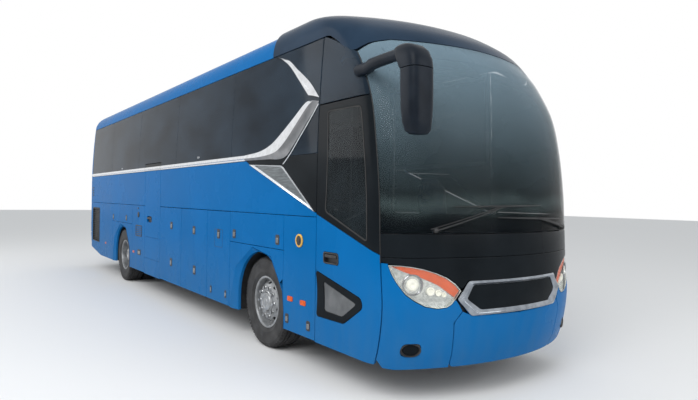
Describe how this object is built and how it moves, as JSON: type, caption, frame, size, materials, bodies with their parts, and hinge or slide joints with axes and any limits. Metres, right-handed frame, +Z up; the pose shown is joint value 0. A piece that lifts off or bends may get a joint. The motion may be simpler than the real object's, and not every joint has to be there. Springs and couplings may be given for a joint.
{
  "type": "coach bus",
  "caption": "Two-axle touring coach with a bowed front, side glass to the roof, two entrance doors on hinged arms, top-hinged luggage doors, steered front wheels and twin rear wheels.",
  "frame": {"origin": "on the ground, under the middle of the whole coach with its mirrors", "axes": "+X to the front, +Y to the left, +Z up"},
  "size_m": [12.2505, 3.1, 3.692],
  "materials": {
    "blue_paint": "gloss",
    "gloss_black": "gloss",
    "tinted_glass": "gloss",
    "lamp_glass": "gloss",
    "red_lens": "gloss",
    "mirror_shell": "satin",
    "black_plastic": "matt",
    "frame_paint": "satin",
    "underbody_panel": "matt",
    "floor_board": "matt vinyl covering",
    "engine_iron": "rough",
    "seat_cloth": "matt",
    "rim_steel": "satin",
    "tyre_rubber": "matt"
  },
  "bodies": {
    "coach": {"chassis_frame": "frame_paint", "front_axle": "frame_paint", "rear_axle": "frame_paint", "engine": "engine_iron", "underbody": "underbody_panel", "floor": "floor_board", "front_stairs": "floor_board", "middle_stairs": "floor_board", "right_wall": "blue_paint", "left_wall": "blue_paint", "driver_side_panel": "blue_paint", "roof": "blue_paint", "front_cap": "gloss_black", "rear_wall": "blue_paint", "tail_dome": "blue_paint", "rear_window": "tinted_glass", "rear_bumper": "blue_paint", "windshield": "tinted_glass", "front_panel": "gloss_black", "front_bumper": "blue_paint", "grille": "gloss_black", "headlights": "lamp_glass", "tail_lights": "red_lens", "right_windows": "tinted_glass", "left_windows": "tinted_glass", "right_mirror": "mirror_shell", "left_mirror": "mirror_shell", "wipers": "black_plastic", "dashboard": "black_plastic", "driver_seat": "seat_cloth", "passenger_seats": "seat_cloth"},
    "front_door": {"front_door": "blue_paint"},
    "front_door_arm": {"front_door_arm": "frame_paint"},
    "mid_door": {"mid_door": "blue_paint"},
    "mid_door_arm": {"mid_door_arm": "frame_paint"},
    "right_luggage_door_front": {"right_luggage_door_front": "blue_paint"},
    "right_luggage_door_rear": {"right_luggage_door_rear": "blue_paint"},
    "right_service_door": {"right_service_door": "blue_paint"},
    "left_luggage_door_front": {"left_luggage_door_front": "blue_paint"},
    "left_luggage_door_middle": {"left_luggage_door_middle": "blue_paint"},
    "left_luggage_door_rear": {"left_luggage_door_rear": "blue_paint"},
    "engine_door": {"engine_door": "blue_paint"},
    "right_knuckle": {"right_knuckle": "frame_paint"},
    "left_knuckle": {"left_knuckle": "frame_paint"},
    "steering_wheel": {"steering_wheel": "black_plastic"},
    "right_front_wheel": {"right_front_rim": "rim_steel", "right_front_tyre": "tyre_rubber"},
    "right_rear_wheels": {"right_rear_rims": "rim_steel", "right_rear_tyres": "tyre_rubber"},
    "left_front_wheel": {"left_front_rim": "rim_steel", "left_front_tyre": "tyre_rubber"},
    "left_rear_wheels": {"left_rear_rims": "rim_steel", "left_rear_tyres": "tyre_rubber"}
  },
  "joints": [
    {"name": "front_door_arm", "type": "hinge", "parent": "coach", "child": "front_door_arm", "pos_m": [5.135, -1.17, 0.5], "axis": [0, 0, 1], "range_deg": [0, 135]},
    {"name": "front_door", "type": "hinge", "parent": "front_door_arm", "child": "front_door", "pos_m": [4.635, -1.17, 0.5], "axis": [0, 0, 1], "range_deg": [-135, 0]},
    {"name": "mid_door_arm", "type": "hinge", "parent": "coach", "child": "mid_door_arm", "pos_m": [-1.235, -1.17, 0.6], "axis": [0, 0, -1], "range_deg": [0, 135]},
    {"name": "mid_door", "type": "hinge", "parent": "mid_door_arm", "child": "mid_door", "pos_m": [-0.815, -1.17, 0.6], "axis": [0, 0, -1], "range_deg": [-135, 0]},
    {"name": "right_luggage_door_front", "type": "hinge", "parent": "coach", "child": "right_luggage_door_front", "pos_m": [1.10125, -1.275, 1.544], "axis": [-1, 0, 0], "range_deg": [0, 85]},
    {"name": "right_luggage_door_rear", "type": "hinge", "parent": "coach", "child": "right_luggage_door_rear", "pos_m": [0.04775, -1.275, 1.544], "axis": [-1, 0, 0], "range_deg": [0, 85]},
    {"name": "right_service_door", "type": "hinge", "parent": "coach", "child": "right_service_door", "pos_m": [2.01, -1.275, 1.544], "axis": [-1, 0, 0], "range_deg": [0, 85]},
    {"name": "left_luggage_door_front", "type": "hinge", "parent": "coach", "child": "left_luggage_door_front", "pos_m": [0.99117, 1.275, 1.544], "axis": [1, 0, 0], "range_deg": [0, 85]},
    {"name": "left_luggage_door_middle", "type": "hinge", "parent": "coach", "child": "left_luggage_door_middle", "pos_m": [-0.2825, 1.275, 1.544], "axis": [1, 0, 0], "range_deg": [0, 85]},
    {"name": "left_luggage_door_rear", "type": "hinge", "parent": "coach", "child": "left_luggage_door_rear", "pos_m": [-1.55617, 1.275, 1.544], "axis": [1, 0, 0], "range_deg": [0, 85]},
    {"name": "engine_door", "type": "hinge", "parent": "coach", "child": "engine_door", "pos_m": [-6.12, 0, 1.774], "axis": [0, 1, 0], "range_deg": [0, 80]},
    {"name": "right_knuckle", "type": "hinge", "parent": "coach", "child": "right_knuckle", "pos_m": [3.195, -0.905, 0.522], "axis": [0, 0, 1], "range_deg": [-40, 40]},
    {"name": "left_knuckle", "type": "hinge", "parent": "coach", "child": "left_knuckle", "pos_m": [3.195, 0.905, 0.522], "axis": [0, 0, 1], "range_deg": [-40, 40]},
    {"name": "steering_wheel", "type": "hinge", "parent": "coach", "child": "steering_wheel", "pos_m": [4.815, 0.62, 1.56], "axis": [-0.5, 0, 0.866], "range_deg": [-800, 800]},
    {"name": "right_front_wheel", "type": "hinge", "parent": "right_knuckle", "child": "right_front_wheel", "pos_m": [3.195, -1.04, 0.522], "axis": [0, 1, 0], "continuous": true},
    {"name": "left_front_wheel", "type": "hinge", "parent": "left_knuckle", "child": "left_front_wheel", "pos_m": [3.195, 1.04, 0.522], "axis": [0, 1, 0], "continuous": true},
    {"name": "right_rear_wheels", "type": "hinge", "parent": "coach", "child": "right_rear_wheels", "pos_m": [-2.955, -0.915, 0.522], "axis": [0, 1, 0], "continuous": true},
    {"name": "left_rear_wheels", "type": "hinge", "parent": "coach", "child": "left_rear_wheels", "pos_m": [-2.955, 0.915, 0.522], "axis": [0, 1, 0], "continuous": true}
  ],
  "couplings": [
    {"joint": "front_door", "follows": "front_door_arm", "ratio": -1},
    {"joint": "mid_door", "follows": "mid_door_arm", "ratio": -1},
    {"joint": "left_knuckle", "follows": "right_knuckle", "ratio": 1},
    {"joint": "steering_wheel", "follows": "right_knuckle", "ratio": 20}
  ]
}
